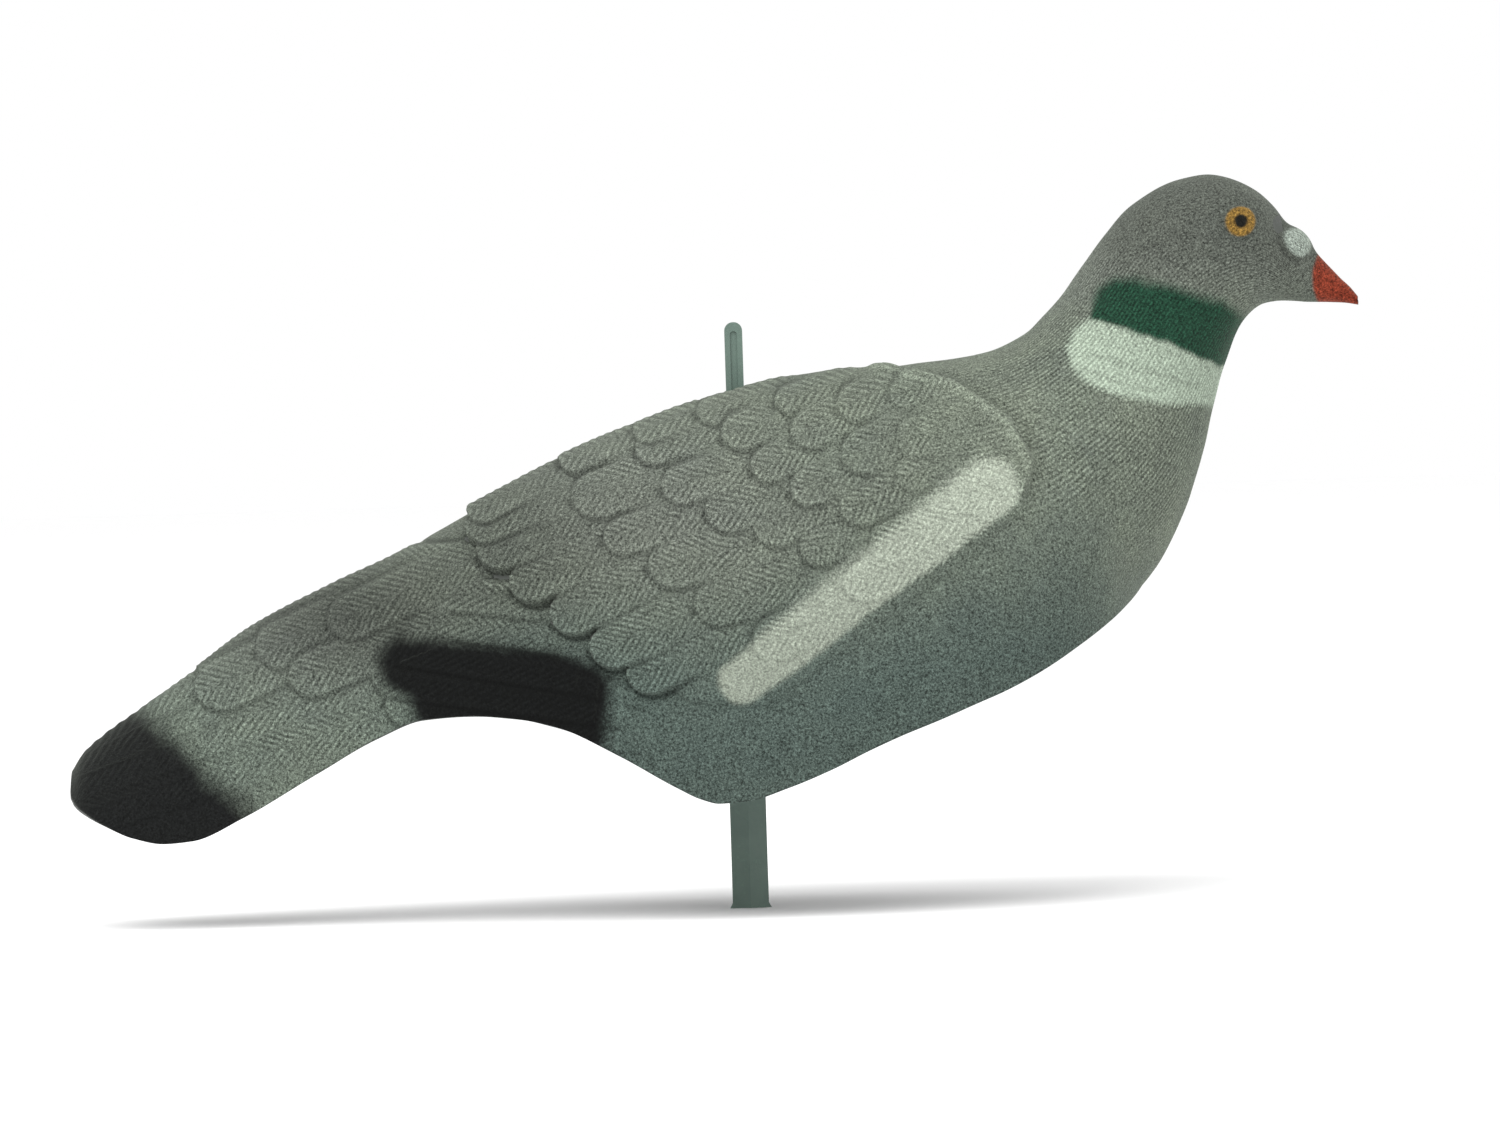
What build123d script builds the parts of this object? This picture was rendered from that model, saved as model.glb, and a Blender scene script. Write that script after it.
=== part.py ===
"""Flocked half-shell wood pigeon decoy that rocks on a plastic ground stake.

Millimetres, +Z up, head towards +X. The origin is on the stake's axis at ground level.
"""

import os
from math import acos, copysign, cos, hypot, pi, sin

from build123d import *

# Shell and its flock coat
WALL = 1.9  # moulded plastic wall
COAT = 0.6  # flock fibre coat over the outside
GLUE_LINE = 0.02  # adhesive between the two
SIDE = 90.0  # beyond the widest point of the bird
OUTLINE_STEPS = 14  # points down one side of a section

# Stake: a tongue through the back, shoulders under it, a ridged blade, and a spade in the ground
STAKE_TOP = 170.0
TONGUE_WIDTH = 5.2
TONGUE_THICK = 3.2
GROOVE_WIDTH = 2.0
GROOVE_DEPTH = 0.6
GROOVE_TOP_GAP = 2.6
SHOULDER_Z = 142.2
BLADE_WIDTH = 10.5
BLADE_THICK = 2.0
RIDGE_HEIGHT = 1.8
SPADE_WIDTH = 24.0
SPADE_BOTTOM = -110.0
FLARE_TOP = 1.5
FLARE_BOTTOM = -12.0
POINT_TOP = -74.0
POINT_HALF = 1.5

# Slots in the back for the tongue, cut square to the sloping wall: centre x and z, slope in degrees
SLOT_LENGTH = 8.8
SLOT_WIDTH = 4.4
SLOT_CORNER = 0.6
SLOT_REACH = 12.0  # how far the cut goes to either side of the wall
SLOTS = [(0.0, 147.6, 13.5), (-25.5, 140.6, 18.9)]

# Sections of the bird from tail to beak: top (x, z), bottom (x, z), half width, squareness
# (2 is an ellipse), and the height of the shell's lower edge where it is open underneath
SECTIONS = [
    ((-195.6, 45.5), (-195.6, -18.0), 25.0, 1.70, 39.9),
    ((-192.5, 50.0), (-192.5, -17.0), 25.5, 1.70, 36.0),
    ((-187.0, 54.8), (-187.0, -16.0), 26.0, 1.70, 31.8),
    ((-177.0, 61.5), (-177.0, -14.0), 27.0, 1.70, 27.0),
    ((-160.0, 72.9), (-160.0, -12.0), 29.0, 1.72, 25.8),
    ((-140.0, 86.6), (-140.0, -11.0), 31.5, 1.78, 34.8),
    ((-120.0, 96.6), (-120.0, -10.0), 34.5, 1.85, 46.2),
    ((-98.0, 106.2), (-98.0, -12.0), 39.5, 1.95, 57.2),
    ((-76.0, 117.8), (-76.0, -20.0), 46.0, 2.03, 59.9),
    ((-54.0, 128.9), (-54.0, -29.0), 53.0, 2.10, 56.4),
    ((-32.0, 138.4), (-32.0, -35.0), 59.0, 2.16, 45.3),
    ((-8.0, 146.6), (-8.0, -38.0), 63.0, 2.20, 33.6),
    ((12.0, 151.4), (12.0, -36.0), 64.6, 2.20, 37.6),
    ((32.0, 154.0), (32.0, -29.0), 65.0, 2.20, 46.0),
    ((52.0, 156.0), (56.0, -12.0), 63.0, 2.20, 55.0),
    ((68.0, 157.6), (84.0, 18.0), 58.5, 2.15, 65.1),
    ((77.0, 159.8), (103.0, 52.0), 51.5, 2.10, 75.8),
    ((82.0, 162.1), (110.0, 70.0), 47.5, 2.08, 82.3),
    ((87.0, 165.4), (115.4, 89.4), 42.5, 2.05, None),
    ((95.0, 173.7), (126.4, 106.0), 36.0, 2.00, None),
    ((102.0, 182.9), (133.8, 125.0), 30.0, 2.00, None),
    ((109.0, 192.1), (138.5, 143.0), 25.5, 2.00, None),
    ((118.0, 200.9), (142.7, 156.0), 23.0, 2.00, None),
    ((130.0, 206.8), (147.5, 166.0), 22.0, 2.00, None),
    ((142.0, 207.8), (152.4, 170.5), 20.5, 2.00, None),
    ((152.5, 203.2), (157.5, 171.7), 17.0, 2.00, None),
    ((160.0, 195.9), (162.4, 171.6), 11.6, 2.00, None),
    ((165.4, 190.3), (166.4, 171.2), 7.6, 2.00, None),
    ((168.4, 186.6), (168.8, 171.1), 6.2, 2.00, None),
    ((173.0, 181.4), (173.2, 170.9), 4.6, 2.00, None),
    ((177.6, 176.2), (177.6, 170.5), 3.0, 2.00, None),
    ((181.3, 171.5), (181.3, 169.8), 1.2, 2.00, None),
]
HOLLOW_END = 27  # sections up to the front of the hollow head
COAT_END = 29  # sections up to the back of the beak

# Sprayed colour zones in side view
NECK_BAND = [(105.0, 181.0), (128.0, 177.5), (172.0, 157.0), (160.0, 144.5), (119.0, 162.2), (102.5, 168.0)]
NECK_BAND_CORNER = 4.0
NECK_PATCH = [(96.0, 159.0), (103.5, 168.0), (122.0, 161.0), (160.0, 144.5), (160.0, 141.0), (113.0, 143.8)]
NECK_PATCH_CORNER = 1.2
WING_BAR_FRONT = (70.0, 118.5)
WING_BAR_REAR = (0.5, 67.0)
WING_BAR_FRONT_HALF = 8.0
WING_BAR_REAR_HALF = 6.4
PRIMARIES = [(-110.0, 76.0), (-100.0, 84.0), (-42.0, 75.0), (-38.5, 66.0), (-41.0, 40.0), (-93.0, 40.0)]
PRIMARIES_CORNER = 4.0
TAIL_BAND = [(-210.0, 90.0), (-174.0, 90.0), (-139.0, 15.0), (-210.0, 15.0)]
EYE = (146.6, 194.2)
EYE_RING_RADIUS = 4.5
PUPIL_RADIUS = 2.0
CERE = (164.2, 187.6)
CERE_RADIUS = 3.6


def section_plane(top, bottom):
    """Plane through a section, with its own y axis running from the bottom to the top."""
    along_x = top[0] - bottom[0]
    along_z = top[1] - bottom[1]
    return Plane(origin=(bottom[0], 0, bottom[1]), x_dir=(0, 1, 0), z_dir=(along_z, 0, -along_x))


def open_angle(top, bottom, squareness, edge):
    """How far round from the top the shell goes before its lower edge: pi where it is closed."""
    if edge is None:
        return pi
    level = 2 * (edge - bottom[1]) / (top[1] - bottom[1]) - 1
    return acos(copysign(abs(level) ** (squareness / 2), level))


def side_points(section, grow):
    """Points down one side of a section, from its top to the lower edge."""
    top, bottom, half_width, squareness, edge = section
    middle = hypot(top[0] - bottom[0], top[1] - bottom[1]) / 2
    end = open_angle(top, bottom, squareness, edge)
    points = []
    for step in range(OUTLINE_STEPS + 1):
        angle = end * step / OUTLINE_STEPS
        across = abs(sin(angle)) ** (2 / squareness) * (half_width + grow)
        up = abs(cos(angle)) ** (2 / squareness) * (middle + grow)
        points.append((across, middle + copysign(up, cos(angle))))
    return points


def hollow_skin(inner, outer, sections):
    """A skin between two distances from the bird's surface, open underneath."""
    with BuildPart() as half:
        for section in sections:
            outside = side_points(section, outer)
            inside = side_points(section, inner)[::-1]
            with BuildSketch(section_plane(*section[:2])):
                with BuildLine():
                    Spline(*outside)
                    Line(outside[-1], inside[0])
                    Spline(*inside)
                    Line(inside[-1], outside[0])
                make_face()
        loft(ruled=True)
        mirror(about=Plane.XZ)
    return half.part


def solid_front(grow, sections):
    """A solid stretch of the head or beak."""
    with BuildPart() as front:
        for section in sections:
            right = side_points(section, grow)
            left = [(-across, up) for across, up in right[::-1]]
            with BuildSketch(section_plane(*section[:2])):
                with BuildLine():
                    Spline(*right)
                    Spline(*left)
                make_face()
        loft(ruled=True)
    return front.part


def side_prism(outline, corner):
    """A side-view outline with rounded corners, extruded right across the bird."""
    with BuildPart() as prism:
        with BuildSketch(Plane.XZ) as face:
            with BuildLine():
                Polyline(*outline, close=True)
            make_face()
            fillet(face.vertices(), corner)
        extrude(amount=SIDE, both=True)
    return prism.part


def wing_bar_prism():
    """The tapering white bar along each wing: two circles and their outer tangents."""
    with BuildPart() as prism:
        with BuildSketch(Plane.XZ):
            with Locations(WING_BAR_FRONT):
                Circle(WING_BAR_FRONT_HALF)
            with Locations(WING_BAR_REAR):
                Circle(WING_BAR_REAR_HALF)
            make_hull()
        extrude(amount=SIDE, both=True)
    return prism.part


def round_prism(centre, radius):
    """A cylinder right across the bird."""
    with BuildPart() as prism:
        with BuildSketch(Plane.XZ):
            with Locations(centre):
                Circle(radius)
        extrude(amount=SIDE, both=True)
    return prism.part


def save(piece, name):
    """Label a finished piece and write it."""
    piece.label = name
    export_step(piece, f"parts/{name}.step")
    print(name, len(piece.solids()), round(piece.volume, 1), piece.is_valid)


os.makedirs("parts", exist_ok=True)

# ---------------------------------------------------------------- slots through the back
with BuildPart() as slots:
    for slot_x, slot_z, slope in SLOTS:
        with BuildSketch(Plane((slot_x, 0, slot_z)).rotated((0, -slope, 0))):
            RectangleRounded(SLOT_LENGTH, SLOT_WIDTH, SLOT_CORNER)
        extrude(amount=SLOT_REACH, both=True)

# ---------------------------------------------------------------- moulded shell
with BuildPart() as body_shell:
    add(hollow_skin(-WALL, 0, SECTIONS[:HOLLOW_END]))
    add(solid_front(0, SECTIONS[HOLLOW_END - 1 : COAT_END]))
    add(slots.part, mode=Mode.SUBTRACT)
save(body_shell.part, "body_shell")

# ---------------------------------------------------------------- solid beak
with BuildPart() as beak:
    add(solid_front(COAT, SECTIONS[COAT_END - 1 :]))
save(beak.part, "beak")

# ---------------------------------------------------------------- flock coat, zone by zone
zones = {
    "neck_band_green": side_prism(NECK_BAND, NECK_BAND_CORNER),
    "neck_patch_white": side_prism(NECK_PATCH, NECK_PATCH_CORNER),
    "wing_bars_white": wing_bar_prism(),
    "primaries_black": side_prism(PRIMARIES, PRIMARIES_CORNER),
    "tail_band_black": side_prism(TAIL_BAND, NECK_BAND_CORNER),
    "eye_rings_yellow": round_prism(EYE, EYE_RING_RADIUS),
    "pupils_black": round_prism(EYE, PUPIL_RADIUS),
    "cere_white": round_prism(CERE, CERE_RADIUS),
}
with BuildPart() as coat:
    add(hollow_skin(GLUE_LINE, COAT, SECTIONS[:COAT_END]))
    add(slots.part, mode=Mode.SUBTRACT)

for zone_name, region in zones.items():
    with BuildPart() as zone:
        add(coat.part)
        add(region, mode=Mode.INTERSECT)
        if zone_name == "eye_rings_yellow":
            add(zones["pupils_black"], mode=Mode.SUBTRACT)
        if zone_name == "neck_patch_white":
            add(zones["neck_band_green"], mode=Mode.SUBTRACT)
    save(zone.part, zone_name)

with BuildPart() as coat_grey:
    add(coat.part)
    for region in zones.values():
        add(region, mode=Mode.SUBTRACT)
save(coat_grey.part, "coat_grey")

# ---------------------------------------------------------------- stake
RIDGE_SLOPE = RIDGE_HEIGHT / (BLADE_WIDTH / 2)
SPADE_RISE = SPADE_WIDTH / 2 * RIDGE_SLOPE
with BuildPart() as stake:
    with BuildSketch(Plane.XY.offset(SPADE_BOTTOM)):
        with BuildLine():
            ridge = -BLADE_THICK / 2 - RIDGE_HEIGHT / 2
            half = SPADE_WIDTH / 2
            Polyline(
                (-half, ridge + SPADE_RISE),
                (0, ridge),
                (half, ridge + SPADE_RISE),
                (half, ridge + SPADE_RISE + BLADE_THICK),
                (0, ridge + BLADE_THICK),
                (-half, ridge + SPADE_RISE + BLADE_THICK),
                close=True,
            )
        make_face()
    extrude(amount=SHOULDER_Z - SPADE_BOTTOM)
    with BuildSketch(Plane.XZ):
        with BuildLine():
            Polyline(
                (-POINT_HALF, SPADE_BOTTOM),
                (POINT_HALF, SPADE_BOTTOM),
                (half, POINT_TOP),
                (half, FLARE_BOTTOM),
                (BLADE_WIDTH / 2, FLARE_TOP),
                (BLADE_WIDTH / 2, SHOULDER_Z),
                (-BLADE_WIDTH / 2, SHOULDER_Z),
                (-BLADE_WIDTH / 2, FLARE_TOP),
                (-half, FLARE_BOTTOM),
                (-half, POINT_TOP),
                close=True,
            )
        make_face()
    extrude(amount=half, both=True, mode=Mode.INTERSECT)
    with BuildSketch(Plane.XZ) as tongue_face:
        tongue_bottom = SHOULDER_Z - 2 * TONGUE_WIDTH
        tongue_height = STAKE_TOP - tongue_bottom
        with Locations((0, tongue_bottom + tongue_height / 2)):
            Rectangle(TONGUE_WIDTH, tongue_height)
        fillet(tongue_face.vertices().group_by(Axis.Z)[-1], TONGUE_WIDTH / 2 - 0.1)
    extrude(amount=TONGUE_THICK / 2, both=True)
    with BuildSketch(Plane.XZ.offset(TONGUE_THICK / 2)):
        with Locations((0, STAKE_TOP - GROOVE_TOP_GAP - (STAKE_TOP - SHOULDER_Z) / 2)):
            SlotOverall(STAKE_TOP - SHOULDER_Z, GROOVE_WIDTH, rotation=90)
    extrude(amount=-GROOVE_DEPTH, mode=Mode.SUBTRACT)
save(stake.part, "stake")
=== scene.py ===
"""Looks for the flocked half-shell wood pigeon decoy: its flock coat, its moulded shell and its stake."""

import math

import bpy
import numpy as np
from mathutils import Matrix, Vector


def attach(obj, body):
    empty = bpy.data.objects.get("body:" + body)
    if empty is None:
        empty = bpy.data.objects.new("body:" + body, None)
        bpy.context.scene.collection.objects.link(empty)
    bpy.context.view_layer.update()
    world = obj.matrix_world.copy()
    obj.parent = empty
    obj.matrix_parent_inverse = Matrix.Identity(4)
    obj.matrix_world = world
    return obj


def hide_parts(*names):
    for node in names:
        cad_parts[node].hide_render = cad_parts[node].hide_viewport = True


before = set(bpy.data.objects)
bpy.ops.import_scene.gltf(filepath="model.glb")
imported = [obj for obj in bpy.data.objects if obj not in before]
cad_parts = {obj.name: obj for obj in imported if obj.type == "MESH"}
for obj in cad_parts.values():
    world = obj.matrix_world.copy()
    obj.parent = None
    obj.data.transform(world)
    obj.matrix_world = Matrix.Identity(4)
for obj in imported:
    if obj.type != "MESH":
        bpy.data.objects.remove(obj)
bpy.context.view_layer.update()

MM = 0.001  # the bird's sections are in millimetres, and Blender is in metres
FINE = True
ROWS = 760 if FINE else 420  # grid lines from tail to beak
COLUMNS = 250 if FINE else 130  # grid lines from the back down to one lower edge
WALL = 1.9
COAT = 0.6
HOLLOW_END = 160.0  # where the cavity stops in the front of the head
BEAK_START = 168.3

# The camera looks at the bird's right side, from slightly above
VIEW_X, VIEW_Z = 2.8, 100.2
VIEW_DISTANCE = 3000.0
VIEW_ELEVATION = math.radians(1.5)
VIEW_ROLL = math.radians(1.78)
VIEW_WIDTH = 435.0

# The bird's sections, as in the CAD but with two more that smooth the corner of the breast:
# top (x, z), bottom (x, z), half width, squareness
SECTIONS = [
    ((-195.6, 45.5), (-195.6, -18.0), 25.0, 1.70),
    ((-192.5, 50.0), (-192.5, -17.0), 25.5, 1.70),
    ((-187.0, 54.8), (-187.0, -16.0), 26.0, 1.70),
    ((-177.0, 61.5), (-177.0, -14.0), 27.0, 1.70),
    ((-160.0, 72.9), (-160.0, -12.0), 29.0, 1.72),
    ((-140.0, 86.6), (-140.0, -11.0), 31.5, 1.78),
    ((-120.0, 96.6), (-120.0, -10.0), 34.5, 1.85),
    ((-98.0, 106.2), (-98.0, -12.0), 39.5, 1.95),
    ((-76.0, 117.8), (-76.0, -20.0), 46.0, 2.03),
    ((-54.0, 128.9), (-54.0, -29.0), 53.0, 2.10),
    ((-32.0, 138.4), (-32.0, -35.0), 59.0, 2.16),
    ((-8.0, 146.6), (-8.0, -38.0), 63.0, 2.20),
    ((12.0, 151.4), (12.0, -36.0), 64.6, 2.20),
    ((32.0, 154.0), (32.0, -29.0), 65.0, 2.20),
    ((52.0, 156.0), (56.0, -12.0), 63.0, 2.20),
    ((68.0, 157.6), (84.0, 18.0), 58.5, 2.15),
    ((77.0, 159.8), (103.0, 52.0), 51.5, 2.10),
    ((82.0, 162.1), (110.0, 70.0), 47.5, 2.08),
    ((87.0, 165.4), (115.4, 89.4), 42.5, 2.05),
    ((88.8, 167.2), (118.2, 92.8), 41.1, 2.03),
    ((91.2, 169.6), (121.6, 97.4), 39.2, 2.02),
    ((95.0, 173.7), (126.4, 106.0), 36.0, 2.00),
    ((102.0, 182.9), (133.8, 125.0), 30.0, 2.00),
    ((109.0, 192.1), (138.5, 143.0), 25.5, 2.00),
    ((118.0, 200.9), (142.7, 156.0), 23.0, 2.00),
    ((130.0, 206.8), (147.5, 166.0), 22.0, 2.00),
    ((142.0, 207.8), (152.4, 170.5), 20.5, 2.00),
    ((152.5, 203.2), (157.5, 171.7), 17.0, 2.00),
    ((160.0, 195.9), (162.4, 171.6), 11.6, 2.00),
    ((165.4, 190.3), (166.4, 171.2), 7.6, 2.00),
    ((168.4, 186.6), (168.8, 171.1), 6.2, 2.00),
    ((173.0, 181.4), (173.2, 170.9), 4.6, 2.00),
    ((177.6, 176.2), (177.6, 170.5), 3.0, 2.00),
    ((181.3, 171.5), (181.3, 169.8), 1.2, 2.00),
]
# The shell's lower edge in side view, from the tail's tip to the breast
RIM = [
    (-195.9, 40.5), (-194.5, 37.8), (-191.0, 34.6), (-185.0, 30.8), (-177.0, 27.0), (-168.0, 25.2),
    (-160.0, 25.8), (-145.0, 32.1), (-125.0, 43.2), (-105.0, 54.3), (-92.0, 59.2), (-78.0, 60.0),
    (-66.0, 59.0), (-54.0, 56.4), (-36.0, 47.7), (-20.0, 38.4), (-13.0, 34.9), (-8.0, 33.6),
    (0.0, 34.1), (12.0, 37.6), (25.0, 42.7), (35.0, 47.4), (45.0, 51.6), (55.0, 55.3),
    (65.0, 59.3), (75.0, 63.3), (85.0, 68.2), (95.0, 74.2), (105.0, 81.0), (111.5, 86.1), (115.4, 89.5),
]
CLOSE_X = 115.4  # where the lower edge ends and the breast is closed below


# ------------------------------------------------------------------ small numpy helpers
def smooth(low, high, value):
    """0 below low, 1 above high, and a smooth ramp between."""
    t = np.clip((value - low) / (high - low), 0, 1)
    return t * t * (3 - 2 * t)


def cubic(knots, values, slope, at):
    """Cubic interpolation of values over rising knots, with the slope at each knot given."""
    step = np.diff(knots)
    index = np.clip(np.searchsorted(knots, at) - 1, 0, len(step) - 1)
    t = (at - knots[index]) / step[index]
    h = step[index]
    return (
        (1 + 2 * t) * (1 - t) ** 2 * values[index]
        + t * (1 - t) ** 2 * h * slope[index]
        + t * t * (3 - 2 * t) * values[index + 1]
        + t * t * (t - 1) * h * slope[index + 1]
    )


def monotone(knots, values, at):
    """Monotone cubic interpolation of values over rising knots."""
    knots = np.asarray(knots, float)
    values = np.asarray(values, float)
    step = np.diff(knots)
    slope = np.diff(values) / step
    inner = np.zeros_like(values)
    same = slope[:-1] * slope[1:] > 0
    with np.errstate(divide="ignore", invalid="ignore"):
        mean = 3 * (step[:-1] + step[1:]) / (
            (2 * step[1:] + step[:-1]) / slope[:-1] + (step[1:] + 2 * step[:-1]) / slope[1:]
        )
    inner[1:-1] = np.where(same, mean, 0)
    inner[0], inner[-1] = slope[0], slope[-1]
    return cubic(knots, values, inner, at)


def catmull(knots, values, at):
    """Smooth cubic interpolation of values over rising knots, with central slopes."""
    knots = np.asarray(knots, float)
    values = np.asarray(values, float)
    return cubic(knots, values, np.gradient(values, knots), at)


def line_distance(x, z, start, end):
    """Signed distance above a line, seen from the side, and the share of the way along it."""
    along = np.subtract(end, start)
    length = math.hypot(*along)
    unit = along / length
    dx, dz = x - start[0], z - start[1]
    return dz * unit[0] - dx * unit[1], (dx * unit[0] + dz * unit[1]) / length


def segment_distance(x, z, start, end):
    """Distance to a straight segment, and the share of the way along it."""
    along = np.subtract(end, start)
    share = np.clip(((x - start[0]) * along[0] + (z - start[1]) * along[1]) / (along @ along), 0, 1)
    return np.hypot(x - start[0] - share * along[0], z - start[1] - share * along[1]), share


def polygon_distance(x, z, corners):
    """Signed distance to a closed side-view outline, positive inside."""
    nearest = np.full(x.shape, 1e9)
    inside = np.zeros(x.shape, bool)
    for start, end in zip(corners, corners[1:] + corners[:1]):
        nearest = np.minimum(nearest, segment_distance(x, z, start, end)[0])
        crosses = (start[1] > z) != (end[1] > z)
        with np.errstate(divide="ignore", invalid="ignore"):
            at = (end[0] - start[0]) * (z - start[1]) / (end[1] - start[1]) + start[0]
        inside ^= crosses & (x < at)
    return np.where(inside, nearest, -nearest)


def lattice_noise(x, y, z, size, seed):
    """Smooth value noise from a seeded lattice, from -1 to 1."""
    rng = np.random.default_rng(seed)
    table = rng.uniform(-1, 1, (32, 32, 32))
    parts = [np.asarray(v) / size for v in (x, y, z)]
    cell = [np.floor(v).astype(int) for v in parts]
    frac = [v - c for v, c in zip(parts, cell)]
    frac = [f * f * (3 - 2 * f) for f in frac]
    total = 0
    for i in (0, 1):
        for j in (0, 1):
            for k in (0, 1):
                weight = (
                    (frac[0] if i else 1 - frac[0])
                    * (frac[1] if j else 1 - frac[1])
                    * (frac[2] if k else 1 - frac[2])
                )
                total = total + weight * table[(cell[0] + i) % 32, (cell[1] + j) % 32, (cell[2] + k) % 32]
    return total


# ------------------------------------------------------------------ the bird's smooth surface
TABLE = np.array([[*top, *bottom, width, square] for top, bottom, width, square in SECTIONS])
MIDDLE = (TABLE[:, :2] + TABLE[:, 2:4]) / 2


def step_lengths(points):
    """Lengths of the steps from each side-view point to the next."""
    return np.hypot(*np.diff(points, axis=0).T)


# places along the bird, by the mean of the way along its back and along its middle
KNOTS = np.r_[0, np.cumsum(0.5 * step_lengths(TABLE[:, :2]) + 0.5 * step_lengths(MIDDLE))]


def section_lines(at):
    """The top, bottom, half width and squareness of the sections at places along the bird."""
    return np.stack([catmull(KNOTS, column, at) for column in TABLE.T])


def edge_angle(lines):
    """How far round from the top each section goes before the shell's lower edge, pi where it is closed."""
    top_x, top_z, bottom_x, bottom_z, _, square = lines
    rim_x, rim_z = zip(*RIM)
    share = np.full(top_x.shape, 0.2)
    for _ in range(40):
        x = bottom_x + share * (top_x - bottom_x)
        height = monotone(rim_x, rim_z, np.clip(x, rim_x[0], rim_x[-1]))
        share = 0.5 * share + 0.5 * (height - bottom_z) / (top_z - bottom_z)
    level = np.where(bottom_x >= CLOSE_X, -1.0, np.clip(2 * share - 1, -1, 1))
    return np.arccos(np.sign(level) * np.abs(level) ** (square / 2))


def skin(lines, angle, grow):
    """Points of the bird's surface, grown by a distance, at signed angles round from the top."""
    top_x, top_z, bottom_x, bottom_z, width, square = (line[:, None] for line in lines)
    height = np.hypot(top_x - bottom_x, top_z - bottom_z)
    middle = height / 2
    sine, cosine = np.sin(angle), np.cos(angle)
    across = np.sign(sine) * np.abs(sine) ** (2 / square) * np.maximum(width + grow, 0.3)
    up = middle + np.sign(cosine) * np.abs(cosine) ** (2 / square) * np.maximum(middle + grow, 0.3)
    x = bottom_x + up * (top_x - bottom_x) / height
    z = bottom_z + up * (top_z - bottom_z) / height
    return np.stack([x, across, z], axis=-1)


def surface_grid(rows, columns, grow):
    """Points, outward normals and angles of the bird's surface, each as (rows, 2 * columns + 1, ...)."""
    at = np.linspace(0, KNOTS[-1], rows)
    lines = section_lines(at)
    angle = np.linspace(-1, 1, 2 * columns + 1)[None, :] * edge_angle(lines)[:, None]
    points = skin(lines, angle, grow)
    ahead = skin(section_lines(np.minimum(at + 0.8, KNOTS[-1])), angle, grow)
    behind = skin(section_lines(np.maximum(at - 0.8, 0)), angle, grow)
    around = skin(lines, angle + 0.02, grow) - skin(lines, angle - 0.02, grow)
    normal = np.cross(around, ahead - behind)
    normal /= np.maximum(np.linalg.norm(normal, axis=-1, keepdims=True), 1e-9)
    outward = points - points.mean(axis=1, keepdims=True)
    middle = normal[rows // 2, columns] @ outward[rows // 2, columns]
    return points, normal * np.sign(middle), angle


# ------------------------------------------------------------------ feathers in relief
# Covert feathers of the folded wing in side view: rounded tip, root, width
COVERTS = [
    ((-33.0, 66.5), (-7.0, 78.5), 14.0),
    ((-43.5, 74.5), (-14.0, 86.0), 14.0),
    ((-54.5, 84.0), (-27.0, 97.0), 14.0),
    ((-66.0, 93.5), (-37.0, 105.5), 13.0),
    ((-75.0, 103.0), (-47.0, 114.5), 13.0),
    ((-78.5, 110.0), (-49.0, 121.5), 11.0),
    ((-77.5, 114.5), (-50.5, 128.5), 9.0),
    ((-50.5, 128.5), (-27.0, 138.5), 9.0),
    ((-13.0, 86.5), (12.0, 94.0), 14.0),
    ((-26.0, 98.0), (3.0, 105.0), 14.0),
    ((-38.5, 106.5), (-13.0, 114.0), 11.0),
    ((-47.0, 117.5), (-21.5, 126.5), 13.5),
    ((3.5, 74.5), (28.0, 86.5), 13.0),
    ((30.0, 91.5), (51.0, 98.0), 12.0),
    ((19.0, 99.5), (31.0, 111.0), 13.0),
    ((5.0, 107.0), (21.0, 116.0), 13.5),
    ((-9.0, 112.5), (10.0, 119.5), 13.5),
    ((-21.5, 120.5), (3.0, 127.5), 11.5),
    ((-28.5, 131.0), (-5.0, 138.5), 9.5),
    ((-29.0, 136.5), (-10.0, 143.5), 8.0),
    ((-10.5, 141.5), (11.0, 148.0), 8.0),
    ((52.0, 97.5), (70.0, 104.0), 11.0),
    ((38.0, 102.5), (62.0, 111.0), 12.0),
    ((30.0, 112.0), (44.0, 120.0), 12.0),
    ((15.5, 118.5), (32.5, 125.0), 11.5),
    ((4.5, 125.0), (19.0, 131.5), 10.5),
    ((-3.5, 134.5), (13.5, 141.5), 10.5),
    ((12.0, 144.0), (31.0, 150.0), 8.5),
    ((61.5, 115.5), (80.0, 123.0), 14.0),
    ((46.0, 122.0), (62.0, 128.0), 11.0),
    ((31.0, 127.0), (45.5, 134.5), 13.0),
    ((16.5, 134.0), (31.0, 141.5), 11.5),
    ((46.5, 132.0), (63.0, 137.5), 11.5),
    ((30.0, 141.5), (45.0, 148.5), 11.0),
    ((45.0, 145.0), (60.0, 150.0), 9.0),
    ((60.0, 137.5), (72.0, 142.0), 9.0),
]
# Long flight feathers under the coverts, tail coverts, and the tail's own feathers, the same way
PRIMARIES = [
    ((-104.0, 62.5), (-30.0, 52.0), 12.0),
    ((-108.0, 72.0), (-35.0, 60.0), 13.0),
    ((-112.0, 82.0), (-40.0, 68.5), 12.0),
    ((-112.0, 90.0), (-46.0, 78.5), 9.0),
    ((-110.0, 97.5), (-54.0, 90.0), 10.0),
    ((-112.0, 104.0), (-60.0, 104.0), 9.0),
]
TAIL_FEATHERS = [
    ((-196.0, 33.0), (-96.0, 63.0), 15.0),
    ((-199.0, 42.0), (-96.0, 76.0), 14.0),
    ((-199.0, 49.0), (-96.0, 88.0), 13.0),
    ((-199.0, 53.0), (-100.0, 99.0), 11.0),
]
TAIL_COVERTS = [
    ((-158.5, 74.5), (-90.0, 106.0), 17.0),
    ((-158.5, 66.0), (-100.0, 92.0), 15.0),
    ((-140.5, 77.5), (-84.0, 101.0), 14.0),
    ((-131.5, 69.0), (-84.0, 87.0), 13.0),
    ((-119.5, 85.0), (-72.0, 106.0), 13.0),
]
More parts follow.
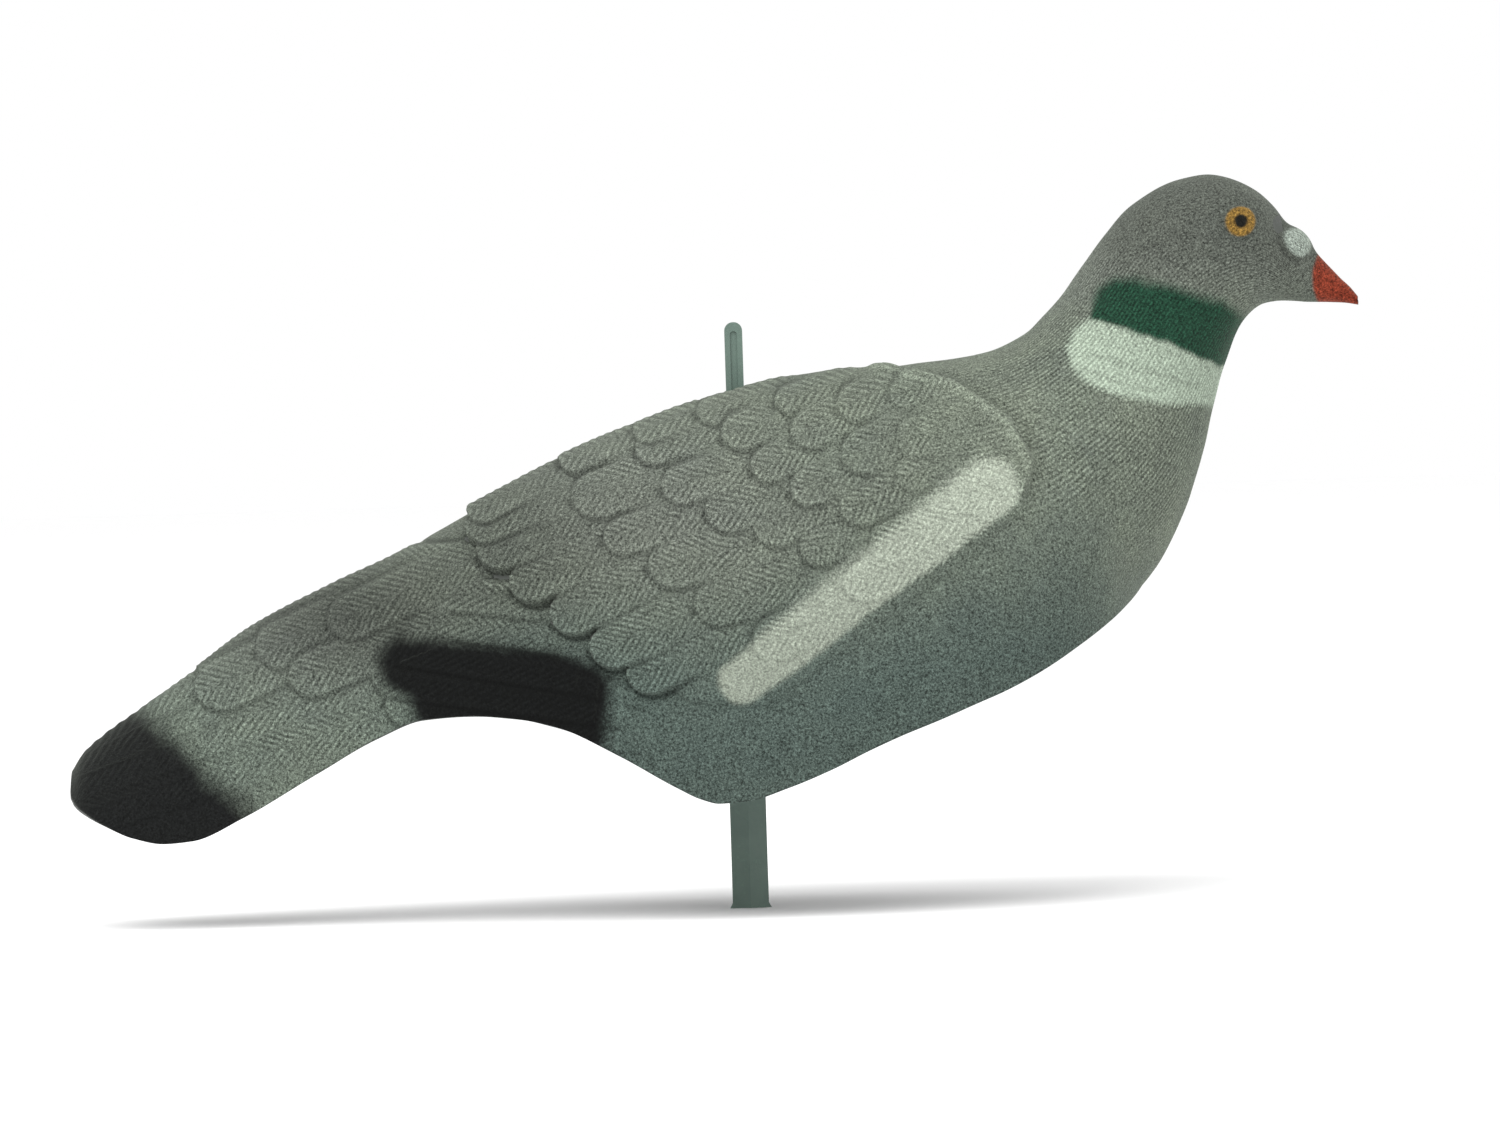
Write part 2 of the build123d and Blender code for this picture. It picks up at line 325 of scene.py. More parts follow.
# The raised part of the wing, short of its rear feathers' tips
WING = [
    (-73.0, 190.0), (-73.0, 112.0), (-60.0, 97.0), (-48.0, 87.0), (-37.0, 78.5), (-27.0, 70.0), (-16.0, 60.0),
    (8.0, 58.0), (62.0, 96.0), (82.0, 112.0), (86.0, 127.0), (79.0, 139.5), (64.4, 149.6), (42.0, 155.4),
    (30.0, 190.0),
]
WING_LIFT = 1.7
BARB_SPACING = 1.6
LONG_BARB_SPACING = 1.7  # on the flight and tail feathers
HAIR_SPACING = 1.5  # of the mantle's fine lines
HAIR_RADIUS = 42.0  # turns an angle round the body into a usual distance
LAST_ROW = 8  # coverts in the row that ends the wing at the rear


def seen_from_the_side(points):
    """Where points of either side appear in the bird's side view, seen slightly from above."""
    depth = np.abs(points[..., 1])
    scale = 1 + depth / VIEW_DISTANCE
    x = VIEW_X + (points[..., 0] - VIEW_X) * scale
    z = VIEW_Z + (points[..., 2] - VIEW_Z) * scale - depth * math.tan(VIEW_ELEVATION)
    return x, z


class Relief:
    """Side-view relief: height, groove shade, tip light, and the barbs' phase and strength."""

    def __init__(self, x, z):
        self.x = x
        self.z = z
        self.height = np.zeros_like(x)
        self.groove = np.zeros_like(x)
        self.light = np.zeros_like(x)
        self.phase = np.zeros_like(x)
        self.waver = 0.30 * lattice_noise(x, 0 * x, z, 7.0, 31)
        self.strength = np.zeros_like(x)

    def feather(self, tip, root, width, lift, barb_spacing, base, depth=1.0, sides=0.72):
        """One feather laid over what is already there; depth is its groove, with painted shade in it and a
        painted highlight inside the tip, which fade along its sides.
        """
        axis = np.subtract(root, tip)
        length = math.hypot(*axis)
        unit = axis / length
        half = width / 2
        dx, dz = self.x - tip[0], self.z - tip[1]
        back = dx * unit[0] + dz * unit[1]
        side = dz * unit[0] - dx * unit[1]
        near = np.where((back > -2.5) & (back < length) & (np.abs(side) < half + 2.5))
        back, side, base = back[near], side[near], base[near]
        phase = (0.58 * back + 0.82 * np.abs(side)) / barb_spacing + tip[0] + self.waver[near]
        barbs = np.sin(2 * math.pi * phase)
        round_end = half * 1.2
        reach = half * np.sqrt(np.clip(1 - np.clip(1 - back / round_end, 0, 1) ** 2, 0, 1))
        edge = np.minimum(reach - np.abs(side), back) + 0.16 * barbs
        inside = smooth(-0.35, 0.45, edge)
        fade = 1 - smooth(0.78, 1.0, back / length)
        slope = (1 - 0.75 * back / length) * (1 - 0.40 * (side / half) ** 2)
        shaft = np.exp(-((side / 0.55) ** 2)) * smooth(1.5, 5.0, back)
        barb_strength = smooth(0.1, 1.3, edge) * (1 - 0.8 * shaft)
        top = base + lift * slope + 0.13 * barbs * barb_strength + 0.12 * shaft
        weight = inside * fade
        tipward = depth * (1 - smooth(sides - 0.4, sides, back / length))
        self.height[near] = self.height[near] * (1 - weight) + top * weight
        # painted shade in the groove under the tip, besides the dip in height
        below = np.exp(-((edge + 0.8) / 0.8) ** 2) * tipward
        self.groove[near] = np.maximum(self.groove[near] * (1 - inside), below)
        self.height[near] -= 0.35 * lift * below
        # painted highlight just inside the rounded tip, darker along the shaft
        lit = 0.60 * np.exp(-((edge - 1.0) / 0.8) ** 2) * tipward - 0.22 * shaft
        self.light[near] = self.light[near] * (1 - weight) + lit * weight
        taken = weight > 0.5
        self.phase[near] = np.where(taken, phase, self.phase[near])
        self.strength[near] = self.strength[near] * (1 - inside * fade) + barb_strength * weight
        self.strength[near] *= 1 - 0.9 * below


def body_relief(x, z, hair):
    """All the moulded relief of one side of the bird; hair is the phase of the mantle's fine lines."""
    relief = Relief(x, z)
    flat = np.zeros_like(x)
    for tip, root, width in TAIL_FEATHERS:
        relief.feather(tip, root, width, 0.35, LONG_BARB_SPACING, flat, depth=0.35)
    for tip, root, width in PRIMARIES:
        relief.feather(tip, root, width, 0.8, LONG_BARB_SPACING, flat, depth=0.9, sides=1.2)
    for tip, root, width in TAIL_COVERTS:
        relief.feather(tip, root, width, 1.0, BARB_SPACING, flat, depth=0.7, sides=0.7)

    # the folded wing: a raised plateau that fades out downwards, under rows of coverts
    wing = polygon_distance(x, z, WING)
    lower_fade = smooth(-3.0, 12.0, line_distance(x, z, (8.0, 54.0), (84.0, 108.0))[0])
    rear = smooth(-12.0, -30.0, x)
    front_edge = smooth(-0.4, 1.2, wing)
    level = np.maximum(lower_fade, rear) * np.where(x > 20, front_edge, 1)
    raised = front_edge * level
    for name in ("groove", "light", "strength"):
        setattr(relief, name, getattr(relief, name) * (1 - raised))
    relief.height = relief.height * (1 - raised) + WING_LIFT * raised
    for place, (tip, root, width) in enumerate(COVERTS):
        long_root = (tip[0] + 1.45 * (root[0] - tip[0]), tip[1] + 1.45 * (root[1] - tip[1]))
        faint = 1 - 0.65 * float(smooth(22.0, 60.0, tip[0]))
        lift, depth, sides = (1.5, 1.0, 0.6) if place < LAST_ROW else (faint, 0.8 * faint, 0.55)
        relief.feather(tip, long_root, width, lift, BARB_SPACING, WING_LIFT * level, depth, sides)
    keep = np.where(x > 20, front_edge, 1)
    relief.groove *= keep
    relief.strength *= keep * np.maximum(lower_fade, rear)
    relief.light *= keep

    # the wing's raised front edge, fading down the breast, with a painted highlight along it and painted
    # shade in the dip before it
    at_front = smooth(30.0, 44.0, x) * smooth(106.0, 132.0, z) * smooth(157.0, 153.0, z)
    ridge = np.exp(-((wing - 1.4) / 1.7) ** 2) * at_front
    relief.height += 1.4 * ridge
    relief.light += 1.2 * ridge
    before = np.exp(-((wing + 1.8) / 1.8) ** 2) * at_front
    relief.height -= 0.35 * before
    relief.groove = np.maximum(relief.groove, 0.30 * before)

    # the barbs are worn away in patches
    relief.strength *= np.clip(0.78 + 0.4 * lattice_noise(x, 0 * x, z, 8.0, 19), 0, 1)

    # fine hair-like lines that follow the body from the mantle up to the nape and down the breast
    where = smooth(24.0, 46.0, x) * (1 - smooth(-1.5, 1.5, wing)) * (1 - 0.8 * smooth(176.0, 192.0, z))
    where *= 0.18 + 0.82 * smooth(104.0, 142.0, z + 0.25 * (x - 60))
    where += 0.6 * smooth(44.0, 66.0, x) * smooth(0.0, 4.0, wing) * smooth(112.0, 122.0, z)
    patchy = lattice_noise(x, 0 * x, z, 11.0, 17)
    where = np.clip(where * (0.8 + 0.45 * patchy), 0, 1)
    hairs = where > relief.strength
    relief.height += 0.10 * np.sin(2 * math.pi * hair) * where
    relief.phase = np.where(hairs, hair, relief.phase)
    relief.strength = np.abs(where - relief.strength)
    return relief


# ------------------------------------------------------------------ sprayed colours
GREEN = [
    (104.5, 171.0), (106.0, 176.5), (111.0, 179.2), (119.0, 178.4), (127.0, 176.4), (135.0, 174.2),
    (142.1, 171.4), (148.1, 166.9), (160.0, 160.0), (160.0, 145.0), (141.6, 153.0), (134.0, 155.8),
    (119.0, 162.4), (104.0, 168.0),
]
WHITE_PATCH = [
    (104.0, 168.0), (99.0, 164.6), (96.8, 159.8), (97.7, 155.0), (100.6, 151.2), (105.0, 147.9),
    (110.9, 145.4), (118.0, 143.6), (126.0, 142.3), (138.2, 141.6), (160.0, 141.0), (160.0, 160.0),
    (134.0, 160.0), (119.0, 166.0),
]
BLACK = [
    (-106.0, 74.5), (-104.0, 79.3), (-100.0, 82.0), (-90.0, 81.6), (-75.0, 79.6), (-55.6, 77.0),
    (-42.4, 73.0), (-38.5, 66.8), (-39.5, 58.0), (-42.0, 40.0), (-92.0, 40.0), (-97.3, 62.0), (-104.0, 68.0),
]
GREEN_LOWER_EDGE = ((104.0, 168.2), (141.6, 153.2))
NECK_STREAKS = (((104.5, 157.2), (134.0, 147.2)), ((101.5, 152.6), (121.0, 146.4)))  # bare of white
BAR_TOP, BAR_END = (72.6, 119.0), (-0.6, 65.8)
TAIL_EDGE = ((-147.0, 34.0), (-171.5, 60.0))  # where the black end of the tail begins
EYE = (147.9, 194.6)
PUPIL_RADIUS, RING_RADIUS, SOCKET_RADIUS = 1.9, 4.35, 5.4
CERE = (164.0, 188.0)
CERE_RADIUS = 3.3


def cere_distance(x, z):
    """Distance outside the cere's oval, which lies along the forehead's slope."""
    along = (x - CERE[0]) * 0.57 - (z - CERE[1]) * 0.82
    across = (x - CERE[0]) * 0.82 + (z - CERE[1]) * 0.57
    return np.hypot(along * 0.75, across) - CERE_RADIUS


def colour_zones(x, y, z, barbs):
    """How much of each sprayed colour lies at a point, with soft airbrushed edges."""
    wobble = 0.8 * lattice_noise(x, y, z, 9.0, 3) + 0.6 * lattice_noise(x, y, z, 3.0, 4)
    lower = line_distance(x, z, *GREEN_LOWER_EDGE)[0]
    soft = 1.0 + 1.6 * smooth(1.0, 7.0, lower)
    green = smooth(-soft, soft, polygon_distance(x, z, GREEN) + 0.7 * wobble)
    white = smooth(-1.3, 1.3, polygon_distance(x, z, WHITE_PATCH) + 0.45 * wobble + 0.35 * barbs)
    white *= 1 - green
    stripes = np.sin(2 * math.pi * (x + 0.4 * z) / 2.9) * smooth(-9.0, -2.0, lower)
    white *= 1 - 0.16 * smooth(0.2, 0.9, stripes)
    for start, end in NECK_STREAKS:
        white *= 1 - 0.30 * np.exp(-((segment_distance(x, z, start, end)[0] / 0.7) ** 2))
    across, share = segment_distance(x, z, BAR_TOP, BAR_END)
    half = 8.2 - 1.7 * share
    above = smooth(-4.0, 4.0, line_distance(x, z, BAR_END, BAR_TOP)[0]) * smooth(0.0, 0.35, 1 - share)
    bar = smooth(-1.3 - 1.6 * above, 1.3 + 1.0 * above, half - across + 0.7 * wobble + 0.5 * barbs)
    black = smooth(-3.2, 3.4, polygon_distance(x, z, BLACK) + 1.2 * wobble)
    tail = line_distance(x, z, *TAIL_EDGE)[0]
    tip = smooth(-6.0, 5.0, tail + 1.8 * wobble)
    red = smooth(-0.5, 0.6, x - BEAK_START - 0.036 * (z - 177.0) ** 2 + 0.25 * wobble)
    cere = smooth(0.55, -0.55, cere_distance(x, z) + 0.2 * wobble)
    eye = np.hypot(x - EYE[0], z - EYE[1])
    ring = smooth(0.4, -0.4, eye - RING_RADIUS + 0.2 * wobble)
    pupil = smooth(0.35, -0.35, eye - PUPIL_RADIUS)
    return green, white, bar, black, tip, red, cere, ring, pupil


def spot(x, z, place, reach):
    """A soft spot, 1 at a place in side view."""
    return np.exp(-(((x - place[0]) / reach[0]) ** 2) - ((z - place[1]) / reach[1]) ** 2)


PLAIN_TONE = 0.3  # the stored darkness of the plain coat, so that spots can also be paler
# Soft spots of the grey coat: how much darker, place, reach
SHADES = [
    (0.30, (-62.0, 106.0), (26.0, 20.0)),
    (0.50, (-112.0, 88.0), (34.0, 17.0)),
    (-0.10, (60.0, 140.0), (50.0, 18.0)),
    (-0.10, (102.0, 130.0), (34.0, 34.0)),
]
NEUTRAL_SPOTS = [((-30.0, 115.0), (55.0, 26.0)), ((-125.0, 85.0), (40.0, 20.0))]


def tone(x, z, edge_share):
    """How much darker, bluer and more neutral the grey coat is at a point, with painted shade on the lower
    flank.
    """
    # darker towards the lower edge: painted shade of the lower flank, which curves under; bluer there as well
    low = smooth(0.55, 1.0, edge_share) * smooth(-120.0, -60.0, x) * smooth(125.0, 90.0, x)
    dark = 0.30 * low + 0.34 * smooth(172.0, 190.0, z) * smooth(100.0, 115.0, x)
    for strength, place, reach in SHADES:
        dark = dark + strength * spot(x, z, place, reach)
    blue = 0.8 * low + 0.3 * smooth(100.0, 60.0, z)
    neutral = smooth(160.0, 185.0, z)
    for place, reach in NEUTRAL_SPOTS:
        neutral = neutral + spot(x, z, place, reach)
    return dark, blue, np.minimum(neutral, 1)


# ------------------------------------------------------------------ meshes
def grid_faces(rows, columns):
    """Corner numbers of the quads of a grid."""
    number = np.arange(rows * columns).reshape(rows, columns)
    corners = [number[:-1, :-1], number[:-1, 1:], number[1:, 1:], number[1:, :-1]]
    return np.stack(corners, axis=-1).reshape(-1, 4)


def mesh_from(name, points_mm, faces):
    """A smooth-shaded mesh object from points in millimetres and quads."""
    mesh = bpy.data.meshes.new(name)
    mesh.vertices.add(len(points_mm))
    mesh.vertices.foreach_set("co", (points_mm * MM).astype(np.float32).ravel())
    mesh.loops.add(faces.size)
    mesh.loops.foreach_set("vertex_index", faces.astype(np.int32).ravel())
    mesh.polygons.add(len(faces))
    mesh.polygons.foreach_set("loop_start", np.arange(0, faces.size, 4, dtype=np.int32))
    mesh.polygons.foreach_set("loop_total", np.full(len(faces), 4, np.int32))
    mesh.update(calc_edges=True)
    mesh.validate()
    mesh.shade_smooth()
    obj = bpy.data.objects.new(name, mesh)
    bpy.context.scene.collection.objects.link(obj)
    return obj


def add_colour(obj, name, red, green, blue, alpha):
    """A per-point colour attribute that the material reads as four separate masks."""
    values = np.stack([red, green, blue, alpha], axis=-1).astype(np.float32)
    attribute = obj.data.attributes.new(name, "FLOAT_COLOR", "POINT")
    attribute.data.foreach_set("color", np.clip(values, 0, 1).ravel())


SLOTS = [(0.0, 147.6, 13.5), (-25.5, 140.6, 18.9)]  # centre x and z, slope of the back in degrees
BACK_ABOVE = 130.0  # all of the shell this high near the slots is back
SLOT_HALF_LENGTH = 4.4
SLOT_HALF_WIDTH = 2.2


def cut_slots(points, faces):
    """Open the slots: drop the quads inside them and draw their edges' points on to their outlines."""
    for slot_x, slot_z, slope in SLOTS:
        run, rise = math.cos(math.radians(slope)), math.sin(math.radians(slope))
        along = (points[:, 0] - slot_x) * run + (points[:, 2] - slot_z) * rise
        across = points[:, 1]
        inside = (np.abs(along) < SLOT_HALF_LENGTH) & (np.abs(across) < SLOT_HALF_WIDTH)
        inside &= points[:, 2] > BACK_ABOVE
        drop = inside[faces].sum(axis=1) >= 3
        for index in np.intersect1d(faces[drop].ravel(), faces[~drop].ravel()):
            if SLOT_HALF_LENGTH - abs(along[index]) < SLOT_HALF_WIDTH - abs(across[index]):
                shift = math.copysign(SLOT_HALF_LENGTH, along[index]) - along[index]
                points[index, 0] += shift * run
                points[index, 2] += shift * rise
            else:
                points[index, 1] = math.copysign(SLOT_HALF_WIDTH, across[index])
        faces = faces[~drop]
    return faces


GAPE = ((163.5, 176.0), (180.5, 171.4))  # the line where the beak would open
STOP = (160.5, 193.5)  # the dip between the forehead and the cere


def face_relief(seen_x, seen_z, x, z):
    """Height and groove shade of the cere and its crease, the beak's gape, and the eye in its socket."""
    bulge = cere_distance(seen_x, seen_z)
    height = 1.1 * smooth(1.6, -1.6, bulge) - 0.9 * spot(seen_x, seen_z, STOP, (3.0, 3.5))
    height -= 0.5 * smooth(167.5, 171.0, x) * smooth(174.0, 178.0, z)
    groove = 0.55 * np.exp(-(((bulge - 1.2) / 0.9) ** 2)) * smooth(165.5, 162.0, x)
    gape = line_distance(seen_x, seen_z, *GAPE)[0]
    height -= 0.22 * np.exp(-((gape / 0.45) ** 2)) * smooth(167.5, 170.0, x)
    eye = np.hypot(seen_x - EYE[0], seen_z - EYE[1])
    height -= 0.35 * np.exp(-((eye - SOCKET_RADIUS) / 1.0) ** 2)
    height += 0.35 * smooth(4.6, 3.8, eye)
    return height, np.maximum(groove, 0.25 * np.exp(-((eye - SOCKET_RADIUS + 0.2) / 0.8) ** 2))


def hair_phase(half, angle):
    """Phase of the mantle's fine lines, which run along the body and waver."""
    steps = np.linalg.norm(np.diff(half, axis=1), axis=-1)
    arc = np.concatenate([np.zeros((ROWS, 1)), np.cumsum(steps, axis=1)], axis=1)
    return (0.55 * arc + 0.45 * HAIR_RADIUS * angle) / HAIR_SPACING + 0.35 * np.sin(half[..., 0] / 9.0)


def clear_of_the_back(x, y, z):
    """0 on the plain strip of back between the wings, which widens towards the neck, and 1 off it."""
    clear = smooth(2.0, 7.5, np.abs(y) - 11.0 * smooth(22.0, 58.0, x))
    clear = np.maximum(clear, 0.6 * smooth(-56.0, -72.0, x))
    return np.where((x > -79) & (x < 70) & (z > 100), clear, 1)


def closed_edges(points, base):
    """The coat with its lower edge and tail end rolled on to the wall, and the beak's tip closed."""
    inner = surface_grid(ROWS, COLUMNS, -WALL * 0.55)[0]
    open_below = (np.abs(base[:, -1, 1]) > 0.5)[:, None]
    left_roll = np.where(open_below, inner[:, 0], points[:, 0])[:, None]
    right_roll = np.where(open_below, inner[:, -1], points[:, -1])[:, None]
    points = np.concatenate([left_roll, points, right_roll], axis=1)
    tail_roll = np.concatenate([inner[:1, :1], inner[:1], inner[:1, -1:]], axis=1)
    beak_tip = np.repeat(points[-1:].mean(axis=1, keepdims=True), points.shape[1], axis=1)
    return np.concatenate([tail_roll, points, beak_tip], axis=0)


def pad(values):
    """Values of the coat's points, repeated for the points that its closed edges add."""
    return np.pad(values, 1, mode="edge").ravel()


def make_coat():
    """The flock coat: the outside with its feathers in relief, and its edge rolled on to the wall."""
    base, normal, angle = surface_grid(ROWS, COLUMNS, COAT * 0.6)
    x, y, z = base[..., 0], base[..., 1], base[..., 2]
    half = base[:, COLUMNS:]
    relief = body_relief(*seen_from_the_side(half), hair_phase(half, angle[:, COLUMNS:]))
    one_side = (relief.height, relief.groove, relief.light, relief.phase, relief.strength)
    height, groove, light, phase, strength = (
        np.concatenate([values[:, :0:-1], values], axis=1) for values in one_side
    )

    clear = clear_of_the_back(x, y, z)
    height, groove, light = height * clear, groove * clear, light * clear
    strength = strength * np.where(x < 30, clear, 1)
    mottle = lattice_noise(x, y, z, 16.0, 7)
    height = height + 0.12 * lattice_noise(x, y, z, 6.0, 11)
    edge_share = np.abs(np.linspace(-1, 1, 2 * COLUMNS + 1))[None, :] + 0 * x
    barbs = np.sin(2 * math.pi * phase) * strength
    seen_x, seen_z = seen_from_the_side(base)
    green, white, bar, black, tip, red, cere, ring, pupil = colour_zones(seen_x, y, seen_z, barbs)
    dark, blue, neutral = tone(seen_x, seen_z, edge_share)
    height = height * (1 - 0.45 * bar)
    groove = groove * (1 - 0.75 * bar)
    strength = strength * (1 - 0.5 * bar) * (1 - 0.4 * white) * (1 - 0.5 * tip)

    face_height, face_groove = face_relief(seen_x, seen_z, x, z)
    height += face_height
    groove = np.maximum(groove, face_groove)

    # relief is lower at the lower edge, and dies out at the tail's end
    height *= np.where(x > 116, 1, 1 - 0.6 * smooth(0.985, 1.0, edge_share))
    height *= smooth(-196.5, -188.0, x)
    points = base + normal * height[..., None]

    points = closed_edges(points, base)
    flat = points.reshape(-1, 3).copy()
    faces = cut_slots(flat, grid_faces(*points.shape[:2]))
    obj = mesh_from("flock_coat", flat, faces)

    add_colour(obj, "zones_body", *map(pad, (green, white, bar, black)))
    add_colour(obj, "zones_head", *map(pad, (red, cere, ring, pupil)))
    # painted groove shade and painted highlight, with the black tail tip and the mottle
    add_colour(obj, "zones_relief_shading", *map(pad, (groove, 0.5 + 0.5 * light, tip, 0.5 + 0.5 * mottle)))
    add_colour(obj, "zones_tone", *map(pad, (PLAIN_TONE + dark, blue, strength, neutral)))
    attribute = obj.data.attributes.new("barb_phase", "FLOAT", "POINT")
    attribute.data.foreach_set("value", pad(phase).astype(np.float32))
    return obj


# ------------------------------------------------------------------ materials
class Nodes:
    """Short ways to add and join shader nodes in one material."""

    def __init__(self, name):
        self.material = bpy.data.materials.new(name)
        self.material.use_nodes = True
        self.tree = self.material.node_tree
        self.shader = self.tree.nodes["Principled BSDF"]

    def add(self, kind, **settings):
        node = self.tree.nodes.new(kind)
        for key, value in settings.items():
            if key in node.inputs.keys():
                node.inputs[key].default_value = value
            else:
                setattr(node, key, value)
        return node

    def link(self, source, target):
        self.tree.links.new(source, target)

    def masks(self, attribute):
        """The four values of a colour attribute."""
        read = self.add("ShaderNodeAttribute", attribute_name=attribute, attribute_type="GEOMETRY")
        split = self.add("ShaderNodeSeparateColor")
        self.link(read.outputs["Color"], split.inputs[0])
        return split.outputs[0], split.outputs[1], split.outputs[2], read.outputs["Alpha"]

    def noise(self, scale, detail=3.0, rough=0.6):
        """Noise over the part, with features about 1 / scale metres apart."""
        where = self.add("ShaderNodeTexCoord")
        node = self.add("ShaderNodeTexNoise", Scale=scale, Detail=detail, Roughness=rough)
        self.link(where.outputs["Object"], node.inputs["Vector"])
        return node.outputs["Fac"]

    def ramp(self, value, low, high, out_low=0.0, out_high=1.0):
        """Linear remap of a value, clamped."""
        node = self.add("ShaderNodeMapRange")
        node.inputs["From Min"].default_value = low
        node.inputs["From Max"].default_value = high
        node.inputs["To Min"].default_value = out_low
        node.inputs["To Max"].default_value = out_high
        self.link(value, node.inputs["Value"])
        return node.outputs["Result"]

    def feed(self, inputs, values):
        """Join each input to a socket, or set it where the value is a constant."""
        for slot, value in zip(inputs, values):
            if hasattr(value, "node"):
                self.link(value, slot)
            else:
                slot.default_value = value

    def math(self, operation, a, b):
        node = self.add("ShaderNodeMath", operation=operation)
        self.feed(node.inputs, (a, b))
        return node.outputs[0]

    def mix(self, factor, a, b, blend="MIX"):
        node = self.add("ShaderNodeMix", data_type="RGBA", blend_type=blend)
        self.feed((node.inputs[0], node.inputs[6], node.inputs[7]), (factor, a, b))  # the colour sockets
        return node.outputs[2]


def srgb(red, green, blue):
    """A colour given in 0-255 screen values, as linear light."""
    def linear(value):
        share = value / 255
        return share / 12.92 if share <= 0.04045 else ((share + 0.055) / 1.055) ** 2.4
    return (linear(red), linear(green), linear(blue), 1.0)


def flock_material():
    """Airbrushed nylon flock: speckled fibres, fine barbs with painted highlight and shade, pale at grazing
    angles, a painted highlight at feather tips and painted shade in grooves.
    """
    n = Nodes("flock")
    green, white, bar, black = n.masks("zones_body")
    red, cere, ring, pupil = n.masks("zones_head")
    # groove is painted shade and light is painted highlight
    groove, light, tip, mottle = n.masks("zones_relief_shading")  # light and mottle are 0.5 where there is none
    dark, blue, strength, neutral = n.masks("zones_tone")  # dark is 0.3 on the plain coat
    phase = n.add("ShaderNodeAttribute", attribute_name="barb_phase", attribute_type="GEOMETRY")
    barbs = n.math("SINE", n.math("MULTIPLY", phase.outputs["Fac"], 2 * math.pi), 0.0)
    barbs = n.math("MULTIPLY", barbs, strength)
    grain = n.noise(1500.0, 2.0, 0.7)
    speck = n.noise(3200.0, 1.0, 0.5)
    cloud = n.noise(90.0, 3.0, 0.6)

    colour = n.mix(n.ramp(cloud, 0.3, 0.7), srgb(79, 85, 77), srgb(89, 96, 85))
    colour = n.mix(n.ramp(mottle, 0.2, 0.8, 0.0, 0.3), colour, srgb(94, 99, 87))
    colour = n.mix(n.ramp(blue, 0.0, 1.0, 0.0, 0.75), colour, srgb(70, 84, 80))
    colour = n.mix(n.math("MULTIPLY", neutral, 0.6), colour, srgb(86, 89, 84))
    sprays = (
        (tip, 1.0, (17, 18, 18)),
        (black, 1.0, (12, 13, 13)),
        (green, 0.96, (15, 48, 34)),
        (white, 0.86, (138, 150, 135)),
        (bar, 0.86, (140, 147, 134)),
        (cere, 1.0, (150, 160, 150)),
        (red, 1.0, (118, 50, 34)),
        (ring, 0.92, (136, 104, 44)),
        (pupil, 1.0, (20, 20, 17)),
    )
    for mask, cover, spray in sprays:
        colour = n.mix(n.math("MULTIPLY", mask, cover), colour, srgb(*spray))

    # painted highlight at the feather tips and along the wing's front ridge
    shade = n.ramp(light, 0.1, 0.95, 0.76, 1.36)
    # painted highlight and shade across the barbs and the mantle's fine lines
    shade = n.math("MULTIPLY", shade, n.ramp(barbs, -1.0, 1.0, 0.66, 1.32))
    # the coat's tone, which holds painted shade on the lower flank
    shade = n.math("MULTIPLY", shade, n.ramp(dark, 0.0, 1.0, 1.3, 0.30))
    # painted shade in grooves, the cere's crease and round the eye
    shade = n.math("MULTIPLY", shade, n.ramp(groove, 0.0, 1.0, 1.0, 0.45))
    fibre = n.math("MULTIPLY", n.ramp(grain, 0.3, 0.7, 0.26, 1.84), n.ramp(speck, 0.3, 0.7, 0.56, 1.48))
    even = n.ramp(n.math("ADD", white, bar), 0.0, 1.0, 1.0, 0.62)  # the pale sprays cover more evenly
    fibre = n.math("ADD", n.math("MULTIPLY", fibre, even), n.math("SUBTRACT", 1.0, even))
    shade = n.math("MULTIPLY", shade, fibre)
    grey = n.add("ShaderNodeCombineColor")
    for channel in range(3):
        n.link(shade, grey.inputs[channel])
    colour = n.mix(1.0, colour, grey.outputs[0], "MULTIPLY")
    n.link(colour, n.shader.inputs["Base Color"])

    n.shader.inputs["Specular IOR Level"].default_value = 0.12
    n.shader.inputs["Sheen Weight"].default_value = 0.16
    n.shader.inputs["Sheen Roughness"].default_value = 0.45
    n.shader.inputs["Sheen Tint"].default_value = srgb(205, 214, 200)
    n.link(n.ramp(speck, 0.3, 0.7, 0.88, 1.0), n.shader.inputs["Roughness"])
    bump = n.add("ShaderNodeBump", Strength=0.6, Distance=0.0004)
    height = n.math("ADD", grain, n.math("MULTIPLY", speck, 0.5))
    n.link(n.math("ADD", height, n.math("MULTIPLY", barbs, 0.35)), bump.inputs["Height"])
    n.link(bump.outputs[0], n.shader.inputs["Normal"])
    return n.material


def moulded_material(name, dark, pale, rough):
    """Moulded plastic: slight colour flow, matt skin, fine scuffs."""
    n = Nodes(name)
    flow = n.noise(60.0, 4.0, 0.6)
    skin = n.noise(2600.0, 2.0, 0.6)
    scuff = n.noise(420.0, 5.0, 0.75)
    colour = n.mix(n.ramp(flow, 0.3, 0.7), dark, pale)
    worn = tuple(min(1, channel * 1.7) for channel in pale[:3]) + (1,)
    colour = n.mix(n.ramp(scuff, 0.56, 0.72, 0.0, 0.25), colour, worn)
    n.link(colour, n.shader.inputs["Base Color"])
    n.link(n.ramp(scuff, 0.3, 0.7, rough - 0.1, rough + 0.15), n.shader.inputs["Roughness"])
    bump = n.add("ShaderNodeBump", Strength=0.25, Distance=0.0002)
    n.link(n.math("ADD", skin, n.math("MULTIPLY", scuff, 0.6)), bump.inputs["Height"])
    n.link(bump.outputs[0], n.shader.inputs["Normal"])
    return n.material


def stage_material():
    """The plain pale floor."""
    n = Nodes("stage_floor")
    n.shader.inputs["Base Color"].default_value = (0.985, 0.985, 0.985, 1)
    n.shader.inputs["Roughness"].default_value = 1.0
    return n.material


def use_material(obj, material):
    obj.data.materials.clear()
    obj.data.materials.append(material)


